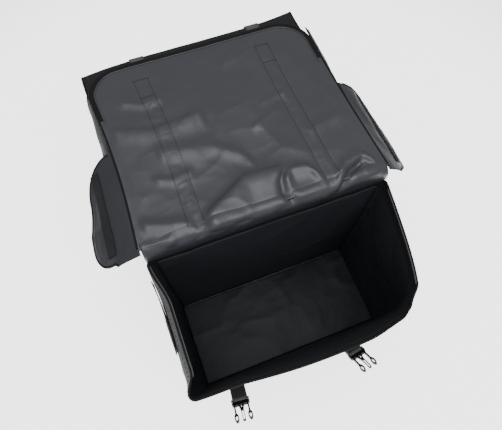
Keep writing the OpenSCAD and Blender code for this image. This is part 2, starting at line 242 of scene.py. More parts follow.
def ribbed_rubber(t, s, o):
    # foamed rubber pad with 4 mm grip ribs
    t.links.new(two_tone(t, noise(t, o, 60, 3), "#141516", "#1f2021"), s.inputs["Base Color"])
    s.inputs["Roughness"].default_value = 0.8
    w = put(t, "ShaderNodeTexWave", {"Vector": o, "Scale": 39.0}, bands_direction="X")
    bumped(t, s, w.outputs["Fac"], 0.6, 0.001)


def studio_floor(t, s, o):
    t.links.new(two_tone(t, noise(t, o, 2, 2), "#f4f4f4", "#fafafa"), s.inputs["Base Color"])
    s.inputs["Roughness"].default_value = 0.95
    s.inputs["Specular IOR Level"].default_value = 0.1
    # painted light: the floor glows of its own, a pool of emitted light from below strongest under the bags and gone
    # 1.7 m out, so that it reads as a lit white table
    s.inputs["Emission Color"].default_value = linear("#ffffff")
    r = put(t, "ShaderNodeVectorMath", {0: o}, operation="LENGTH").outputs["Value"]
    limits = {"Value": r, "From Min": 0.7, "From Max": 1.7, "To Min": 2.4, "To Max": 0.0}
    painted_glow = put(t, "ShaderNodeMapRange", limits, interpolation_type="SMOOTHSTEP").outputs[0]
    t.links.new(painted_glow, s.inputs["Emission Strength"])


SHELL = finish_of("coated_black_polyester", coated_polyester)
INNER = finish_of("coated_polyester_inside", inner_polyester)
LINING = finish_of("grey_pvc_lining", pvc_lining)
# the ears' lining: the lid's lining with painted shade in its colour
SHADED_EAR_LINING = finish_of("dull_ear_lining", ear_lining)
WEBBING = finish_of("polypropylene_webbing", woven_webbing)
HOOK = finish_of("hook_and_loop_tape", hook_tape)
PLASTIC = finish_of("moulded_acetal", acetal)
PIPING = finish_of("grey_satin_piping", grey_piping)
BINDING = finish_of("black_grosgrain_binding", black_binding)
BOARD = finish_of("lined_polyethylene_board", lined_board)
THREAD = finish_of("dark_sewing_thread", thread)
PALE_THREAD = finish_of("pale_sewing_thread", pale_thread)
RUBBER = finish_of("ribbed_rubber_pad", ribbed_rubber)
FLOOR = finish_of("matt_studio_floor", studio_floor)


# ---------------------------------------------------------------- shaping tools

_lattice = {}


def rough(x, y, seed):
    """Smooth value noise between -1 and 1 over two arrays, one cell a unit wide."""
    table = _lattice.setdefault(seed, np.random.RandomState(seed).rand(128, 128) * 2 - 1)
    x, y = np.asarray(x, float), np.asarray(y, float)
    i, j = np.floor(x).astype(int), np.floor(y).astype(int)
    u, v = x - i, y - j
    u, v = u * u * (3 - 2 * u), v * v * (3 - 2 * v)
    a, b = table[i % 128, j % 128], table[(i + 1) % 128, j % 128]
    c, d = table[i % 128, (j + 1) % 128], table[(i + 1) % 128, (j + 1) % 128]
    return (a * (1 - u) + b * u) * (1 - v) + (c * (1 - u) + d * u) * v


def crumple(x, y, cell, seed):
    """Creased cloth: sharp folds between soft facets, about 0 to 1."""
    w = 0.35 * cell
    dx = w * rough(x / cell / 1.7, y / cell / 1.7, seed + 7)
    dy = w * rough(x / cell / 1.7, y / cell / 1.7, seed + 9)
    a = 1 - np.abs(rough((x + dx) / cell, (y + dy) / cell, seed))
    b = 1 - np.abs(rough((x - dy) / cell * 2.1, (y + dx) / cell * 2.1, seed + 3))
    return 0.7 * a ** 3 + 0.3 * b ** 2


def fold(u, v, line, tall, near, far, ends=0.014):
    """A long fold in cloth: v on its crest is read off line along u; near and far are its half widths."""
    line = np.array(line)
    d = v - np.interp(u, line[:, 0], line[:, 1])
    fade = step(line[0, 0], line[0, 0] + ends, u) * (1 - step(line[-1, 0] - ends, line[-1, 0], u))
    return tall * np.exp(-(d / np.where(d < 0, near, far)) ** 2) * fade


def step(a, b, x):
    t = np.clip((np.asarray(x, float) - a) / (b - a), 0, 1)
    return t * t * (3 - 2 * t)


def normals_of(g):
    """Normals of a grid of points, rows by columns by 3."""
    du = np.gradient(g, axis=0)
    dv = np.gradient(g, axis=1)
    n = np.cross(dv, du)
    return n / np.maximum(np.linalg.norm(n, axis=2, keepdims=True), 1e-12)


def piece(name, verts, faces, mats, which=None, smooth=True, uv=None):
    """A mesh object at the origin from points and faces; which gives each face's material."""
    mesh = bpy.data.meshes.new(name)
    mesh.from_pydata([tuple(map(float, v)) for v in verts], [], [tuple(map(int, f)) for f in faces])
    for m in mats:
        mesh.materials.append(m)
    if which is not None:
        mesh.polygons.foreach_set("material_index", np.asarray(which, dtype=np.int32))
    mesh.polygons.foreach_set("use_smooth", [smooth] * len(mesh.polygons))
    if uv is not None:
        layer = mesh.uv_layers.new(name="along")
        loops = np.zeros(len(mesh.loops), dtype=np.int32)
        mesh.loops.foreach_get("vertex_index", loops)
        layer.data.foreach_set("uv", np.asarray(uv, float)[loops].ravel())
    mesh.validate()
    mesh.update()
    o = bpy.data.objects.new(name, mesh)
    bpy.context.scene.collection.objects.link(o)
    return o


def grid_faces(rows, cols, start=0, wrap=False, flip=False):
    last = cols if wrap else cols - 1
    out = []
    for i in range(rows - 1):
        for j in range(last):
            a, b = start + i * cols + j, start + i * cols + (j + 1) % cols
            c, d = b + cols, a + cols
            out.append((a, d, c, b) if flip else (a, b, c, d))
    return out


def cloth(name, top, thick, mats, edge=2):
    """A closed panel of cloth: the top grid, the same grid thick below it, and the edges between."""
    rows, cols, _ = top.shape
    n = normals_of(top)
    low = top - n * thick
    verts = np.concatenate([top.reshape(-1, 3), low.reshape(-1, 3)])
    k = rows * cols
    up = grid_faces(rows, cols)
    down = grid_faces(rows, cols, k, flip=True)
    rim = []
    loop = ([(0, j) for j in range(cols)] + [(i, cols - 1) for i in range(1, rows)]
            + [(rows - 1, j) for j in range(cols - 2, -1, -1)] + [(i, 0) for i in range(rows - 2, 0, -1)])
    ids = [i * cols + j for i, j in loop]
    for a, b in zip(ids, ids[1:] + ids[:1]):
        rim.append((b, a, a + k, b + k))
    which = [0] * len(up) + [1] * len(down) + [edge] * len(rim)
    o = piece(name, verts, up + down + rim, mats, which)
    outward(o)
    return o


def outward(o):
    bm = bmesh.new()
    bm.from_mesh(o.data)
    bmesh.ops.recalc_face_normals(bm, faces=bm.faces)
    bm.to_mesh(o.data)
    bm.free()


def tube(name, line, radius, mat, closed=False, sides=8):
    """A round cord swept along a line of points, its ends closed."""
    p = np.asarray(line, float)
    n = len(p)
    t = np.roll(p, -1, 0) - np.roll(p, 1, 0) if closed else np.gradient(p, axis=0)
    t /= np.maximum(np.linalg.norm(t, axis=1, keepdims=True), 1e-12)
    ref = np.array([0.0, 0.0, 1.0])
    verts = []
    for i in range(n):
        r = ref if abs(t[i] @ ref) < 0.95 else np.array([1.0, 0, 0])
        a = np.cross(t[i], r)
        a /= np.linalg.norm(a)
        b = np.cross(t[i], a)
        for k in range(sides):
            q = 2 * math.pi * k / sides
            verts.append(p[i] + radius * (a * math.cos(q) + b * math.sin(q)))
    faces = grid_faces(n, sides, wrap=True)
    if closed:
        last = (n - 1) * sides
        faces += [(last + k, last + (k + 1) % sides, (k + 1) % sides, k) for k in range(sides)]
    else:
        faces += [tuple(range(sides)), tuple(range((n - 1) * sides, n * sides))]
    o = piece(name, verts, faces, [mat])
    outward(o)
    return o


def strap(name, line, across, width, thick, mat=None, cols=7):
    """Webbing along a line of points: across is each point's direction over the width."""
    p = np.asarray(line, float)
    w = np.broadcast_to(np.asarray(across, float), p.shape)
    s = np.linspace(-0.5, 0.5, cols)
    g = p[:, None, :] + s[None, :, None] * width * w[:, None, :]
    length = np.concatenate([[0], np.cumsum(np.linalg.norm(np.diff(p, axis=0), axis=1))])
    o = cloth(name, g, thick, [mat or WEBBING] * 3)
    uv = np.zeros((len(p), cols, 2))
    uv[..., 0] = (s * width)[None, :]
    uv[..., 1] = length[:, None]
    uv = np.concatenate([uv.reshape(-1, 2)] * 2)
    layer = o.data.uv_layers.new(name="along")
    loops = np.zeros(len(o.data.loops), dtype=np.int32)
    o.data.loops.foreach_get("vertex_index", loops)
    layer.data.foreach_set("uv", uv[loops].ravel())
    return o


def smooth_line(points, n):
    """n points along a smooth curve through the given ones (Catmull-Rom)."""
    p = np.asarray(points, float)
    p = np.vstack([2 * p[0] - p[1], p, 2 * p[-1] - p[-2]])
    out = []
    m = len(p) - 3
    for u in np.linspace(0, m - 1e-9, n):
        i = int(u)
        t = u - i
        a, b, c, d = p[i:i + 4]
        out.append(0.5 * (2 * b + (c - a) * t + (2 * a - 5 * b + 4 * c - d) * t * t
                          + (3 * b - a - 3 * c + d) * t ** 3))
    return np.array(out)


# ---------------------------------------------------------------- stitches

def stitch_tree():
    """Geometry nodes that lay one thread stitch after another along a path."""
    g = bpy.data.node_groups.new("run_of_stitches", "GeometryNodeTree")
    face = g.interface
    face.new_socket("Path", in_out="INPUT", socket_type="NodeSocketGeometry")
    for label, kind, value in (("Pitch", "NodeSocketFloat", 0.006), ("Length", "NodeSocketFloat", 0.004),
                               ("Thickness", "NodeSocketFloat", 0.0006)):
        face.new_socket(label, in_out="INPUT", socket_type=kind).default_value = value
    face.new_socket("Thread", in_out="INPUT", socket_type="NodeSocketMaterial")
    face.new_socket("Stitches", in_out="OUTPUT", socket_type="NodeSocketGeometry")
    src = put(g, "NodeGroupInput").outputs
    curve = put(g, "GeometryNodeMeshToCurve", {"Mesh": src["Path"]})
    points = put(g, "GeometryNodeResampleCurve", {"Curve": curve.outputs[0], "Length": src["Pitch"]},
                 mode="LENGTH")
    along = put(g, "GeometryNodeInputTangent")
    turn = put(g, "FunctionNodeAlignEulerToVector", {"Vector": along.outputs[0]}, axis="X")
    ball = put(g, "GeometryNodeMeshUVSphere", {"Segments": 6, "Rings": 4, "Radius": 0.5})
    size = put(g, "ShaderNodeCombineXYZ", {"X": src["Length"], "Y": src["Thickness"], "Z": src["Thickness"]})
    each = put(g, "GeometryNodeInstanceOnPoints", {"Points": points.outputs[0], "Instance": ball.outputs[0],
                                                   "Rotation": turn.outputs[0], "Scale": size.outputs[0]})
    real = put(g, "GeometryNodeRealizeInstances", {"Geometry": each.outputs[0]})
    done = put(g, "GeometryNodeSetMaterial", {"Geometry": real.outputs[0], "Material": src["Thread"]})
    out = put(g, "NodeGroupOutput")
    g.links.new(done.outputs[0], out.inputs["Stitches"])
    return g


STITCHES = stitch_tree()


def sew(name, lines, mat, pitch=0.006, length=0.0042, thickness=0.0009):
    """Stitches along each line of points, as one plain mesh."""
    verts, edges = [], []
    for line in lines:
        k = len(verts)
        verts += [tuple(map(float, p)) for p in line]
        edges += [(k + i, k + i + 1) for i in range(len(line) - 1)]
    mesh = bpy.data.meshes.new(name + "_path")
    mesh.from_pydata(verts, edges, [])
    o = bpy.data.objects.new(name, mesh)
    bpy.context.scene.collection.objects.link(o)
    mod = o.modifiers.new("stitches", "NODES")
    mod.node_group = STITCHES
    ids = {s.name: s.identifier for s in STITCHES.interface.items_tree if s.in_out == "INPUT"}
    mod[ids["Pitch"]], mod[ids["Length"]], mod[ids["Thickness"]] = pitch, length, thickness
    mod[ids["Thread"]] = mat
    made = bpy.data.meshes.new_from_object(o.evaluated_get(bpy.context.evaluated_depsgraph_get()))
    o.modifiers.remove(mod)
    made.name = name
    o.data = made
    o.data.polygons.foreach_set("use_smooth", [True] * len(o.data.polygons))
    return o


# ---------------------------------------------------------------- sizes taken from the frame

base_lo, base_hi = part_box("rear_base_panel")
face_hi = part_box("rear_face_panel")[1]
BASE_Z = base_lo[2]
HALF_W = face_hi[0]
BASE_W = base_hi[0]
BACK_Y = base_lo[1]
FACE_Y = face_hi[1]
BASE_FACE = base_hi[1]
lid_lo, lid_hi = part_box("front_lid_panel")
flap_lo, flap_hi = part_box("front_flap_panel")
lining_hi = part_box("front_lid_lining")[1]
LID_X = lid_hi[0]
LID_TOP = lining_hi[2]
LID_Y = lid_lo[1]
FLAP_END = flap_hi[1]
FOLD_Y = (lid_hi[1] + flap_lo[1]) / 2
joints = {j["name"]: j for j in frame["record"]["behaviour"]["joints"]}
EDGE = 0.009            # width of the edge binding
CORNER = 0.058          # corner radius of the flap
STRAP_X = (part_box("front_female_right")[0][0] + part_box("front_female_right")[1][0]) / 2
WEB_W = 0.025


# ---------------------------------------------------------------- bag bodies

def height(z):
    """0 at the base, 1 at the rim."""
    return np.clip((np.asarray(z, float) - BASE_Z) / -BASE_Z, 0, 1)


def askew(x, y):
    """The shut bag's outer corners stand a little to the left, the left one nearer than the right."""
    out = step(0.05, 1.0, (y - BACK_Y) / (FACE_Y - BACK_Y))
    r = np.clip(x / HALF_W, -1.05, 1.05)
    return -0.010 * np.abs(r) ** 3 * out, 0.009 * r ** 3 * out


def slump(side, x, y, z):
    """Moves points of a box bag, built at +Y, to where its soft cloth hangs."""
    t = height(z)
    out = np.clip((y - BACK_Y) / (FACE_Y - BACK_Y), 0, 1.1)
    reach = x / HALF_W
    nx, ny, nz = x.copy(), y.copy(), z.copy()
    if side == FRONT:
        belly = 0.021 * np.cos(np.clip((x - 0.02) / 0.215, -1, 1) * math.pi / 2)
        ny += belly * out ** 3 * (0.13 * np.sin(math.pi * t) + t ** 2.6)
        # the loose front corner has sunk in and drags the end wall with it
        sunk = step(0.2, 1.0, t)
        nx -= sunk * step(0.5, 1.0, reach) * (0.030 * out + 0.004 * out ** 6)
        dip = 0.005 * step(0.3, 0.6, reach) + 0.007 * step(0.6, 0.92, reach) + 0.013 * step(0.82, 1.0, reach)
        ny -= sunk * out ** 3 * dip
        nz -= 0.012 * step(0.6, 1.0, t) * step(0.5, 1.0, reach) * out ** 2
        # the left rim leans in over the floor, and the wall below it swells out
        left = step(0.55, 1.0, -reach)
        nx += left * step(0.0, 0.4, out) * (1 - step(0.84, 1.0, out)) * 0.014 * t ** 8
        ny += left * 0.007 * out ** 5 * t ** 2
        bow = np.sin(math.pi * np.clip(0.1 + 0.8 * out, 0, 1)) ** 0.5
        nx -= left * 0.0035 * 1.9 * t ** 2 * (1 - t ** 8) * bow
        nz += 0.004 * step(0.7, 1.0, t) * np.sin(2.2 * math.pi * reach) * out ** 2
    else:
        dx, dy = askew(x, y)
        nx, ny = nx + dx, ny + dy
        ny += 0.004 * np.cos(reach * math.pi / 2) * out ** 3 * np.sin(math.pi * t) ** 0.8
        swell = np.sin(math.pi * t) * np.sin(math.pi * np.clip(out, 0, 1))
        nx += 0.003 * np.sign(x) * np.abs(reach) ** 6 * swell
    nz -= 0.0022 * t ** 12
    # crumples, stronger low down, where the cloth stands on its own folds
    deep = 0.0042 if side == FRONT else 0.0032
    middle = np.sin(math.pi * np.clip(t * 0.94 + 0.05, 0, 1))
    dent = crumple(x + 3 * side, z, 0.085, 21 + side) - 0.5
    ny += deep * dent * out ** 2 * middle
    dent = crumple(y + 5 * side, z, 0.075, 31 + side) - 0.5
    nx += 0.9 * deep * dent * np.sign(x) * np.abs(reach) ** 8 * middle
    return nx, ny, nz


def ring(z, inset, scale=1.0, radius=0.012, nx=84, ny=42, nc=7):
    """Points round the bag at height z: back, right end, face, left end, with rounded corners."""
    t = float(height(z))
    w = (BASE_W + (HALF_W - BASE_W) * t - inset) * scale
    mid = (BACK_Y + BASE_FACE + (FACE_Y - BASE_FACE) * t) / 2
    half = ((BASE_FACE + (FACE_Y - BASE_FACE) * t - BACK_Y) / 2 - inset) * scale
    r = max(radius - inset, 0.002) * max(scale, 0.3)
    pts = []

    def side_of(a, b, n):
        for k in range(n):
            f = k / n
            pts.append((a[0] + (b[0] - a[0]) * f, a[1] + (b[1] - a[1]) * f))

    def bend(cx, cy, start):
        for k in range(nc):
            q = start + (math.pi / 2) * k / nc
            pts.append((cx + r * math.cos(q), cy + r * math.sin(q)))
    side_of((-w + r, mid - half), (w - r, mid - half), nx)
    bend(w - r, mid - half + r, -math.pi / 2)
    side_of((w, mid - half + r), (w, mid + half - r), ny)
    bend(w - r, mid + half - r, 0)
    side_of((w - r, mid + half), (-w + r, mid + half), nx)
    bend(-w + r, mid + half - r, math.pi / 2)
    side_of((-w, mid + half - r), (-w, mid - half + r), ny)
    bend(-w + r, mid - half + r, math.pi)
    p = np.array(pts)
    return np.column_stack([p, np.full(len(p), z)])


def settled(side, p):
    x, y, z = slump(side, p[:, 0].copy(), p[:, 1].copy(), p[:, 2].copy())
    return np.column_stack([x, y * side, z])


def bag(side, name):
    """A bag body as one lofted shell: outer cloth, inner coating and the turned rim between."""
    outer, inner = [], []
    for s in (0.12, 0.35, 0.6, 0.82, 0.94):
        outer.append(ring(BASE_Z, 0.0, s))
    outer.append(ring(BASE_Z + 0.0004, 0.0, 0.985))
    outer.append(ring(BASE_Z + 0.0016, 0.0, 0.995))
    tall = -BASE_Z
    levels = np.concatenate([[0.004], np.linspace(0.009, tall - 0.004, 66), [tall - 0.0015, tall]]) + BASE_Z
    outer += [ring(z, 0.0) for z in levels]
    inner = [ring(z, PANEL) for z in levels[::-1] if z > BASE_Z + PANEL + 0.001]
    low = BASE_Z + PANEL
    inner += [ring(low, PANEL, s) for s in (0.99, 0.9, 0.7, 0.45, 0.15)]
    rows = [settled(side, r) for r in outer + inner]
    cols = len(rows[0])
    verts = np.concatenate(rows)
    faces = grid_faces(len(rows), cols, wrap=True)
    which = [0] * (cols * (len(outer) - 1)) + [2] * cols
    # the top 22 mm inside is the turned hem of the outer cloth
    which += [k for r in inner[:-1] for k in [0 if r[0, 2] > -0.022 else 1] * cols]
    faces += [tuple(range(cols)), tuple(range((len(rows) - 1) * cols, len(rows) * cols))]
    which += [0, 1]
    o = piece(name, verts, faces, [SHELL, INNER, BINDING], which)
    outward(o)
    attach(o, "bags")
    return o


def face_line(side, x, z0, z1, n, proud=0.0002):
    """Points down the outside of a bag's face at x."""
    z = np.linspace(z0, z1, n)
    t = height(z)
    y = BASE_FACE + (FACE_Y - BASE_FACE) * t
    q = settled(side, np.column_stack([np.full(n, x), y, z]))
    q[:, 1] += side * proud
    return q


def end_grid(side, hand, y0, y1, z0, z1, rows, cols, proud=0.0003):
    """Points on the outside of a bag's end wall."""
    ys, zs = np.linspace(y0, y1, cols), np.linspace(z0, z1, rows)
    g = np.zeros((rows, cols, 3))
    for i, z in enumerate(zs):
        w = BASE_W + (HALF_W - BASE_W) * float(height(z))
        g[i] = settled(side, np.column_stack([np.full(cols, w * hand), ys, np.full(cols, z)]))
        g[i, :, 0] += hand * proud
    return g


WORD = {FRONT: "front", REAR: "rear"}
for side in (FRONT, REAR):
    word = WORD[side]
    shell = bag(side, word + "_bag_shell")
    walls = ("back_panel", "face_panel", "end_left", "end_right", "base_panel")
    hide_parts(*[f"{word}_{n}" for n in walls])
    # rim: black binding with a light piping line on its inner side
    mouth = settled(side, ring(0.0, PANEL / 2))
    mouth[:, 2] -= 0.0006
    bead = tube(word + "_rim_bead", mouth, 0.0019, BINDING, closed=True)
    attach(bead, "bags")
    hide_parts(word + "_rim_binding")
    inside = settled(side, ring(-0.0005, PANEL + 0.0012))
    inside[:, 2] += 0.0008
    for end, run in (("right", inside[93:134]), ("left", inside[234:275])):
        pipe = tube(f"{word}_rim_piping_{end}", run, 0.0010, PIPING, sides=6)
        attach(pipe, "bags")
    seam = settled(side, ring(-0.012, -0.0002))
    rows = [np.vstack([seam, seam[:1]])]
    for x in (-1, 1):
        for y in (0, 1):
            z = np.linspace(-0.014, BASE_Z + 0.010, 90)
            t = height(z)
            xs = x * (BASE_W + (HALF_W - BASE_W) * t - 0.0135)
            ys = BASE_FACE + (FACE_Y - BASE_FACE) * t + 0.0002
            if y:
                rows.append(settled(side, np.column_stack([xs, ys, z])))
            else:
                ys = ys - 0.0135
                xs = x * (BASE_W + (HALF_W - BASE_W) * t + 0.0002)
                rows.append(settled(side, np.column_stack([xs, ys, z])))
    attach(sew(word + "_bag_seams", rows, PALE_THREAD), "bags")

    # floor board, bowed a little, and the lined board up the back
    lo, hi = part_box(word + "_base_board")
    a, b = np.meshgrid(np.linspace(lo[1], hi[1], 40), np.linspace(lo[0], hi[0], 80), indexing="ij")
    up = hi[2] + 0.0016 + 0.0022 * rough(b / 0.09, a / 0.07, 41) + 0.0016 * crumple(b, a, 0.06, 43)
    board = cloth(word + "_floor_board", np.stack([b, a, up], -1), 0.0026, [BOARD] * 3)
    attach(board, "bags")
    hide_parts(word + "_base_board")
    foot = (hi[1] if side == FRONT else lo[1]) + side * 0.0016
    welt = np.column_stack([np.linspace(lo[0] + 0.004, hi[0] - 0.004, 90), np.full(90, foot),
                            np.full(90, hi[2] + 0.0046)])
    welt = tube(word + "_floor_welt", welt, 0.0009, PIPING, sides=6)
    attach(welt, "bags")
    lo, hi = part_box(word + "_back_board")
    inner_y = lo[1] if side == FRONT else hi[1]
    c, d = np.meshgrid(np.linspace(lo[2], hi[2], 60), np.linspace(lo[0], hi[0], 80), indexing="ij")
    puff = 0.0016 * np.sin(math.pi * (c - lo[2]) / (hi[2] - lo[2])) + 0.0018 * crumple(d, c, 0.08, 47)
    g = np.stack([d, inner_y + side * puff, c], -1)
    liner = cloth(word + "_back_liner", g if side == FRONT else g[:, ::-1], 0.0026, [INNER, INNER, BINDING])
    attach(liner, "bags")
    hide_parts(word + "_back_board")

    # webbing down the face, boxed and stitched, and the loop tapes on the ends
    lo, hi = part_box(word + "_face_straps")
    stitched = []
    for hand, x in ((-1, lo[0] + WEB_W / 2), (1, hi[0] - WEB_W / 2)):
        line = face_line(side, x, lo[2] + 0.001, -0.172, 40, 0.0019)
        band = strap(f"{word}_face_strap_{'left' if hand < 0 else 'right'}", line if side == FRONT else line[::-1],
                     (1, 0, 0), WEB_W, 0.0019)
        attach(band, "bags")
        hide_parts(word + "_face_straps")
        for dx in (-0.0105, 0.0105):
            stitched.append(face_line(side, x + dx, lo[2] + 0.004, -0.176, 40, 0.0021))
        for z in (lo[2] + 0.004, lo[2] + 0.026, -0.176, -0.196):
            p = face_line(side, x, z, z - 0.0001, 2, 0.0021)[0]
            stitched.append(np.array([p + (-0.0105, 0, 0), p + (0.0105, 0, 0)]))
    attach(sew(word + "_strap_stitches", stitched, THREAD, 0.004, 0.003, 0.0007), "bags")
    lo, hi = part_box(word + "_loop_tapes")
    y0, y1 = sorted((abs(lo[1]), abs(hi[1])))
    for hand in (-1, 1):
        g = end_grid(side, hand, y0, y1, lo[2], hi[2], 10, 40, 0.0014)
        if side * hand > 0:
            g = g[:, ::-1]
        tape = cloth(f"{word}_loop_tape_{'left' if hand < 0 else 'right'}", g, 0.0013, [HOOK] * 3)
        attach(tape, "bags")
        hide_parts(word + "_loop_tapes")

# ---------------------------------------------------------------- yoke

lo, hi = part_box("yoke_panel")
profile = smooth_line([(hi[1] * -1, lo[2]), (-hi[1], -0.010), (-hi[1], hi[2] - 0.004), (-hi[1] + 0.004, hi[2]),
                       (-0.03, hi[2] - 0.0004), (0.03, hi[2] - 0.0004), (hi[1] - 0.004, hi[2]),
                       (hi[1], hi[2] - 0.004), (hi[1], -0.010), (hi[1], lo[2])], 90)
xs = np.linspace(-1, 1, 90)
g = np.zeros((90, 90, 3))
for i, (y, z) in enumerate(profile):
    g[i, :, 0] = xs * (hi[0] - 0.001)
    g[i, :, 1] = y
    g[i, :, 2] = z
flat = np.abs(profile[:, 0]) < hi[1] - 0.006
g[flat, :, 2] -= 0.0012 * crumple(g[flat, :, 0], g[flat, :, 1], 0.06, 53)
yoke = cloth("yoke_cloth", g, 0.0024, [SHELL, SHELL, BINDING])
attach(yoke, "bags")
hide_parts("yoke_panel")


# ---------------------------------------------------------------- lids

def half_width(a, length, half):
    """Half the lid's width a metres from its hinge edge: straight, then round the flap's corners."""
    over = np.clip(a - (length - CORNER), 0, CORNER)
    return half - CORNER + np.sqrt(np.maximum(CORNER ** 2 - over ** 2, 0))


def lid_rows(length, n=118):
    """Distances from the hinge edge, closer together where the corners turn."""
    a = np.concatenate([np.linspace(0, length - CORNER, n, endpoint=False),
                        length - CORNER + CORNER * np.sin(np.linspace(0, math.pi / 2, 34))])
    a[-1] = length - 0.00002
    return a


def edge_gap(x, a, length, half):
    """Distance in from the lid's free edges."""
    d = np.minimum(half - np.abs(x), length - a)
    cx, ca = np.abs(x) - (half - CORNER), a - (length - CORNER)
    inside = CORNER - np.hypot(np.maximum(cx, 0), np.maximum(ca, 0))
    return np.where((cx > 0) & (ca > 0), inside, d)


def lid_relief(x, a, length, side):
    """How far the lid's cloth stands up or down from flat, in metres."""
    h = 0.0030 * (crumple(x, a, 0.13, 61 + side) - 0.5) + 0.0013 * (crumple(x, a, 0.055, 67 + side) - 0.5)
    h += 0.0022 * rough(x / 0.12 + 4, a / 0.09, 71 + side)
    # the webbing sewn to the far side draws the cloth down along its stitch lines, with puckers between
    for c in (-STRAP_X, STRAP_X):
        for d in (-0.0115, 0.0115):
            h -= 0.0007 * np.exp(-((x - c - d) / 0.0018) ** 2)
        h += 0.0012 * crumple(x + c, a, 0.017, 73) * np.exp(-((x - c) / 0.0075) ** 4)
    if side == FRONT:
        # the loose lining rolls over the hinge and throws long folds up the lid
        h += fold(x, a, [(-0.189, 0.200), (-0.150, 0.188), (-0.120, 0.177), (-0.069, 0.181), (-0.030, 0.184)],
                  0.0046, 0.022, 0.007)
        h += fold(x, a, [(-0.132, 0.138), (-0.085, 0.128), (-0.044, 0.122), (-0.008, 0.094), (0.012, 0.064)],
                  0.0034, 0.016, 0.012)
        h += fold(x, a, [(-0.100, 0.006), (-0.046, 0.034), (-0.017, 0.050), (0.020, 0.048), (0.052, 0.044)],
                  0.0085, 0.028, 0.010, 0.022)
        h += fold(a, x, [(-0.014, 0.036), (0.012, 0.027), (0.030, 0.031), (0.052, 0.048)],
                  -0.0062, 0.005, 0.009)
        h += fold(x, a, [(0.030, 0.026), (0.050, 0.043), (0.076, 0.038), (0.096, 0.010)],
                  0.0064, 0.013, 0.007)
        h += fold(x, a, [(0.098, -0.018), (0.129, 0.008), (0.160, 0.020)], -0.0060, 0.006, 0.004, 0.010)
        h += fold(x, a, [(0.104, 0.000), (0.132, 0.022), (0.160, 0.028), (0.182, 0.004)],
                  0.0062, 0.006, 0.010)
        h += fold(x, a, [(-0.187, 0.038), (-0.150, 0.024), (-0.105, 0.012)], 0.0046, 0.014, 0.009)
        h += fold(x, a, [(-0.150, 0.100), (-0.118, 0.088), (-0.080, 0.094)], 0.0024, 0.010, 0.006)
        h += fold(x, a, [(0.052, 0.168), (0.085, 0.176), (0.114, 0.178)], 0.0022, 0.009, 0.004)
        h += fold(x, a, [(0.022, 0.128), (0.062, 0.144), (0.092, 0.160)], 0.0024, 0.010, 0.005)
        h += fold(x, a, [(0.100, 0.090), (0.140, 0.104), (0.178, 0.108)], 0.0026, 0.012, 0.007)
        h += fold(x, a, [(0.020, 0.262), (0.060, 0.275), (0.105, 0.290)], 0.0022, 0.012, 0.007)
        h += fold(x, a, [(-0.160, 0.250), (-0.120, 0.232), (-0.080, 0.236)], 0.0026, 0.010, 0.006)
        # the sockets sewn under the far corners hold the cloth up
        for c in (-STRAP_X, STRAP_X):
            w = step(length - 0.058, length - 0.040, a) * (1 - step(0.018, 0.032, np.abs(x - c - 0.008)))
            h = h + w * np.maximum(0.0010 - h, 0)
    return h


def lid_cover(side, length, half):
    """The lid and its flap as one cloth: rows a, points X and A, how far each rises, and its gap to the edge."""
    a = lid_rows(length)
    s = np.sin(np.linspace(-1, 1, 133) * math.pi / 2) * 0.12 + np.linspace(-1, 1, 133) * 0.88
    A, S = np.meshgrid(a, s, indexing="ij")
    X = S * half_width(A, length, half)
    rise = lid_relief(X, A, length, side)
    gap = edge_gap(X, A, length, half)
    start, full = (-0.002, 0.014) if side == FRONT else (0.0, 0.008)
    at_hinge = 0.02 * (A < 0.02) * (gap >= A - 0.0001)
    rise = rise * step(0.0, 0.02, gap + at_hinge) * step(start, full, A)
    return a, X, A, rise, gap


LENGTH = FLAP_END - LID_Y
FOLD_A = FOLD_Y - LID_Y


def front_path(a):
    a = np.asarray(a, float)
    n = np.zeros_like(a)
    return LID_Y + a, LID_TOP + n, n, n + 1


def tuck(a):
    """The open lid's side edges draw in between its corners."""
    return 0.0058 * np.sin(math.pi * np.clip(np.asarray(a, float) / 0.30, 0, 1))


def front_lid_point(x, a, up):
    """A point on the open lid's lining: it lies a little askew, its far end carried towards -X."""
    y, z, ny, nz = front_path(a)
    sag = 0.0035 * step(0.16, 0.32, a)
    x = x - x / LID_X * tuck(a)
    skew = 0.008 * np.clip(a, 0, 1) / 0.32 * step(0.02, 0.3, a)
    return np.stack([x - skew - 0.001, y + ny * up, z + nz * up - sag], -1)


a, X, A, rise, gap = lid_cover(FRONT, LENGTH, LID_X - 0.002)
top = front_lid_point(X, A, rise)
lid = cloth("front_lid_cover", top, 0.0028, [LINING, SHELL, BINDING, BINDING])
band = (gap < EDGE) & (A > FOLD_A + 0.02)
rows, cols = X.shape
mid_band = (band[:-1, :-1].astype(int) + band[1:, 1:] + band[1:, :-1] + band[:-1, 1:]) > 2
edge_ids = np.zeros(len(lid.data.polygons), dtype=np.int32)
lid.data.polygons.foreach_get("material_index", edge_ids)
edge_ids[: mid_band.size][mid_band.ravel()] = 3
lid.data.polygons.foreach_set("material_index", edge_ids)


def cross_fold(o):
    """Bakes the placing of a piece of the open bag's lid and flap into its points; it bends nothing."""
    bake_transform(o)
    return o


cross_fold(lid)
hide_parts("front_lid_panel", "front_lid_lining", "front_flap_panel", "front_flap_lining",
            "front_flap_binding")


def outline(length, half, inset, start, n=160):
    """Points (x, a) round the lid's free edges, inset from them, from the left side to the right."""
    r = CORNER - inset
    w, e = half - inset, length - inset
    pts = [(-w, q) for q in np.linspace(start, e - r, n // 3)]
    pts += [(-w + r - r * math.cos(q), e - r + r * math.sin(q)) for q in np.linspace(0.04, math.pi / 2, 30)]
    pts += [(q, e) for q in np.linspace(-w + r, w - r, n // 2)[1:-1]]
    pts += [(w - r + r * math.sin(q), e - r + r * math.cos(q)) for q in np.linspace(0, math.pi / 2 - 0.04, 30)]
    pts += [(w, q) for q in np.linspace(e - r, start, n // 3)]
    return np.array(pts)


